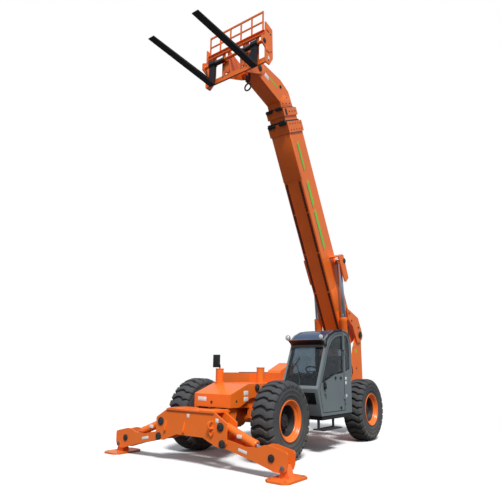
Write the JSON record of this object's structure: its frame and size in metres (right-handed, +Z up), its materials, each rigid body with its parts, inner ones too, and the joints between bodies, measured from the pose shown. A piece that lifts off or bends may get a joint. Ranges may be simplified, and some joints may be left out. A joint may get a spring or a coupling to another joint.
{
  "type": "telehandler",
  "caption": "Rough-terrain telescopic handler with a raised three-section boom, level pallet forks, side cab, four steered wheels and front outriggers set down.",
  "frame": {"origin": "ground level, centre of the whole machine's bounding box in plan", "axes": "+X to the machine's front, +Y to its left, +Z up"},
  "size_m": [7.2176, 4.04, 9.04],
  "materials": {
    "chrome": "polished",
    "dark": "satin",
    "glass": "gloss",
    "grey": "satin",
    "orange": "gloss",
    "plastic": "matte",
    "rubber": "matte"
  },
  "bodies": {
    "chassis": {"chassis_frame": "orange", "nose_cover": "orange", "outrigger_beam": "orange", "counterweight": "orange", "front_axle": "orange", "rear_axle": "orange", "cab_shell": "grey", "windscreen": "glass", "roof_glass": "glass", "rear_glass": "glass", "side_glass": "glass", "right_glass": "glass", "seat_frame": "plastic", "seat_cushion": "plastic", "console": "plastic", "steering_column": "plastic", "cab_step": "dark", "engine_pod": "orange", "engine_block": "dark"},
    "cab_door": {"cab_door": "grey", "door_glass": "glass"},
    "engine_hood": {"engine_hood": "orange"},
    "boom_outer": {"boom_outer": "orange", "outer_pads": "plastic"},
    "boom_mid": {"boom_mid": "orange", "mid_pads": "plastic"},
    "boom_inner": {"boom_inner": "orange"},
    "fork_carriage": {"fork_carriage": "orange"},
    "fork_left": {"fork_left": "dark"},
    "fork_right": {"fork_right": "dark"},
    "hook": {"hook": "dark"},
    "front_left_knuckle": {"front_left_knuckle": "orange"},
    "front_left_wheel": {"front_left_tyre": "rubber", "front_left_rim": "orange"},
    "front_right_knuckle": {"front_right_knuckle": "orange"},
    "front_right_wheel": {"front_right_tyre": "rubber", "front_right_rim": "orange"},
    "rear_left_knuckle": {"rear_left_knuckle": "orange"},
    "rear_left_wheel": {"rear_left_tyre": "rubber", "rear_left_rim": "orange"},
    "rear_right_knuckle": {"rear_right_knuckle": "orange"},
    "rear_right_wheel": {"rear_right_tyre": "rubber", "rear_right_rim": "orange"},
    "lift_barrel_left": {"lift_barrel_left": "orange"},
    "lift_rod_left": {"lift_rod_left": "chrome"},
    "lift_barrel_right": {"lift_barrel_right": "orange"},
    "lift_rod_right": {"lift_rod_right": "chrome"},
    "outrigger_leg_left": {"outrigger_leg_left": "orange"},
    "outrigger_barrel_left": {"outrigger_barrel_left": "orange"},
    "outrigger_rod_left": {"outrigger_rod_left": "chrome"},
    "outrigger_foot_left": {"outrigger_foot_left": "orange"},
    "outrigger_leg_right": {"outrigger_leg_right": "orange"},
    "outrigger_barrel_right": {"outrigger_barrel_right": "orange"},
    "outrigger_rod_right": {"outrigger_rod_right": "chrome"},
    "outrigger_foot_right": {"outrigger_foot_right": "orange"}
  },
  "joints": [
    {"name": "steer_front_left", "type": "hinge", "parent": "chassis", "child": "front_left_knuckle", "pos_m": [1.4112, 0.74, 0.674], "axis": [0, 0, 1], "range_deg": [-30, 30]},
    {"name": "steer_front_right", "type": "hinge", "parent": "chassis", "child": "front_right_knuckle", "pos_m": [1.4112, -0.74, 0.674], "axis": [0, 0, 1], "range_deg": [-30, 30]},
    {"name": "spin_front_left", "type": "hinge", "parent": "front_left_knuckle", "child": "front_left_wheel", "pos_m": [1.4112, 0.9825, 0.674], "axis": [0, 1, 0], "continuous": true},
    {"name": "spin_front_right", "type": "hinge", "parent": "front_right_knuckle", "child": "front_right_wheel", "pos_m": [1.4112, -0.9825, 0.674], "axis": [0, 1, 0], "continuous": true},
    {"name": "steer_rear_left", "type": "hinge", "parent": "chassis", "child": "rear_left_knuckle", "pos_m": [-2.0688, 0.74, 0.674], "axis": [0, 0, 1], "range_deg": [-30, 30]},
    {"name": "steer_rear_right", "type": "hinge", "parent": "chassis", "child": "rear_right_knuckle", "pos_m": [-2.0688, -0.74, 0.674], "axis": [0, 0, 1], "range_deg": [-30, 30]},
    {"name": "spin_rear_left", "type": "hinge", "parent": "rear_left_knuckle", "child": "rear_left_wheel", "pos_m": [-2.0688, 0.9825, 0.674], "axis": [0, 1, 0], "continuous": true},
    {"name": "spin_rear_right", "type": "hinge", "parent": "rear_right_knuckle", "child": "rear_right_wheel", "pos_m": [-2.0688, -0.9825, 0.674], "axis": [0, 1, 0], "continuous": true},
    {"name": "boom_lift", "type": "hinge", "parent": "chassis", "child": "boom_outer", "pos_m": [-3.3288, 0, 2.47], "axis": [0, -1, 0], "range_deg": [-64, 8]},
    {"name": "lift_swing_left", "type": "hinge", "parent": "chassis", "child": "lift_barrel_left", "pos_m": [-2.6288, 0.37, 1.2], "axis": [0, -1, 0], "range_deg": [-43.5, 6]},
    {"name": "lift_stroke_left", "type": "slide", "parent": "lift_barrel_left", "child": "lift_rod_left", "axis": [0.1048, 0, 0.9945], "range_m": [-1.28, 0.17]},
    {"name": "lift_swing_right", "type": "hinge", "parent": "chassis", "child": "lift_barrel_right", "pos_m": [-2.6288, -0.37, 1.2], "axis": [0, -1, 0], "range_deg": [-43.5, 6]},
    {"name": "lift_stroke_right", "type": "slide", "parent": "lift_barrel_right", "child": "lift_rod_right", "axis": [0.1048, 0, 0.9945], "range_m": [-1.28, 0.17]},
    {"name": "extend_mid", "type": "slide", "parent": "boom_outer", "child": "boom_mid", "axis": [0.4679, 0, 0.8838], "range_m": [0, 4.5]},
    {"name": "extend_inner", "type": "slide", "parent": "boom_mid", "child": "boom_inner", "axis": [0.4679, 0, 0.8838], "range_m": [0, 4.5]},
    {"name": "carriage_tilt", "type": "hinge", "parent": "boom_inner", "child": "fork_carriage", "pos_m": [1.1012, 0, 8.2], "axis": [0, 1, 0], "range_deg": [-78, 25]},
    {"name": "fork_shift_left", "type": "slide", "parent": "fork_carriage", "child": "fork_left", "axis": [0, 1, 0], "range_m": [-0.45, 0.1]},
    {"name": "fork_shift_right", "type": "slide", "parent": "fork_carriage", "child": "fork_right", "axis": [0, -1, 0], "range_m": [-0.45, 0.1]},
    {"name": "hook_swing", "type": "hinge", "parent": "boom_inner", "child": "hook", "pos_m": [1.2412, 0, 8.03], "axis": [0, 1, 0], "range_deg": [-60, 60]},
    {"name": "outrigger_left", "type": "hinge", "parent": "chassis", "child": "outrigger_leg_left", "pos_m": [2.5512, 0.72, 0.39], "axis": [-1, 0, 0], "range_deg": [-72, 3]},
    {"name": "outrigger_push_left", "type": "hinge", "parent": "chassis", "child": "outrigger_barrel_left", "pos_m": [2.5512, 0.68, 0.64], "axis": [-1, 0, 0], "range_deg": [-73, 3.5]},
    {"name": "outrigger_stroke_left", "type": "slide", "parent": "outrigger_barrel_left", "child": "outrigger_rod_left", "axis": [0, 0.9361, -0.3518], "range_m": [-0.31, 0.02]},
    {"name": "foot_left", "type": "hinge", "parent": "outrigger_leg_left", "child": "outrigger_foot_left", "pos_m": [2.5512, 1.82, 0.165], "axis": [-1, 0, 0], "range_deg": [-15, 15]},
    {"name": "outrigger_right", "type": "hinge", "parent": "chassis", "child": "outrigger_leg_right", "pos_m": [2.5512, -0.72, 0.39], "axis": [1, 0, 0], "range_deg": [-72, 3]},
    {"name": "outrigger_push_right", "type": "hinge", "parent": "chassis", "child": "outrigger_barrel_right", "pos_m": [2.5512, -0.68, 0.64], "axis": [1, 0, 0], "range_deg": [-73, 3.5]},
    {"name": "outrigger_stroke_right", "type": "slide", "parent": "outrigger_barrel_right", "child": "outrigger_rod_right", "axis": [0, -0.9361, -0.3518], "range_m": [-0.31, 0.02]},
    {"name": "foot_right", "type": "hinge", "parent": "outrigger_leg_right", "child": "outrigger_foot_right", "pos_m": [2.5512, -1.82, 0.165], "axis": [1, 0, 0], "range_deg": [-15, 15]},
    {"name": "cab_door", "type": "hinge", "parent": "chassis", "child": "cab_door", "pos_m": [-0.6738, 1.215, 1.5], "axis": [0, 0, 1], "range_deg": [0, 105]},
    {"name": "engine_hood", "type": "hinge", "parent": "chassis", "child": "engine_hood", "pos_m": [-0.3288, -0.365, 1.3853], "axis": [-1, 0, 0], "range_deg": [0, 60]}
  ],
  "couplings": [
    {"joint": "steer_front_right", "follows": "steer_front_left", "ratio": 1},
    {"joint": "steer_rear_right", "follows": "steer_rear_left", "ratio": 1},
    {"joint": "lift_swing_left", "follows": "boom_lift", "ratio": 0.6675},
    {"joint": "lift_stroke_left", "follows": "boom_lift", "m_per_rad": 1.13},
    {"joint": "lift_swing_right", "follows": "boom_lift", "ratio": 0.6675},
    {"joint": "lift_stroke_right", "follows": "boom_lift", "m_per_rad": 1.13},
    {"joint": "extend_inner", "follows": "extend_mid", "ratio": 1},
    {"joint": "outrigger_push_left", "follows": "outrigger_left", "ratio": 1},
    {"joint": "outrigger_stroke_left", "follows": "outrigger_left", "m_per_rad": 0.24},
    {"joint": "outrigger_push_right", "follows": "outrigger_right", "ratio": 1},
    {"joint": "outrigger_stroke_right", "follows": "outrigger_right", "m_per_rad": 0.24}
  ]
}
